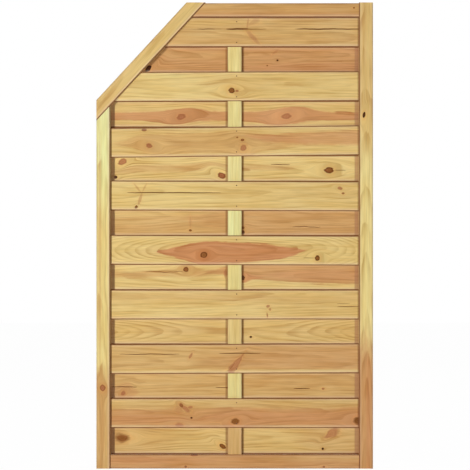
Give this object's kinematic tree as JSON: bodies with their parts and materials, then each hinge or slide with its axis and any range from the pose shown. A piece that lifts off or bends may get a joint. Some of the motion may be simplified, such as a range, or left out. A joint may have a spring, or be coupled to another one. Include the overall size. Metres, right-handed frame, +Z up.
{
  "type": "fence panel",
  "caption": "Slatted timber privacy fence panel with a sloped top corner: a grooved frame holds thin slats set alternately on the front and back of an upright centre batten.",
  "frame": {"origin": "middle of the panel's bottom edge, halfway through its depth", "axes": "+X along the width away from the sloped corner, +Y from the front to the back, +Z up"},
  "size_m": [0.89, 0.045, 1.5],
  "materials": {
    "frame_timber": "planed pressure-treated pine, matt, rounded edges",
    "slat_timber": "planed pressure-treated pine with knots and heartwood, matt",
    "batten_timber": "pale green-yellow treated pine, matt",
    "nail_steel": "dull, weathered",
    "screw_steel": "zinc plated, dull"
  },
  "bodies": {
    "root": {"left_stile": "frame_timber", "right_stile": "frame_timber", "slope_rail": "frame_timber", "top_rail": "frame_timber", "bottom_rail": "frame_timber", "front_slat_1": "slat_timber", "front_slat_2": "slat_timber", "front_slat_3": "slat_timber", "front_slat_4": "slat_timber", "front_slat_5": "slat_timber", "front_slat_6": "slat_timber", "front_slat_7": "slat_timber", "front_slat_8": "slat_timber", "rear_slat_1": "slat_timber", "rear_slat_2": "slat_timber", "rear_slat_3": "slat_timber", "rear_slat_4": "slat_timber", "rear_slat_5": "slat_timber", "rear_slat_6": "slat_timber", "rear_slat_7": "slat_timber", "rear_slat_8": "slat_timber", "centre_batten": "batten_timber", "slat_nails": "nail_steel", "frame_screws": "screw_steel"}
  },
  "joints": []
}
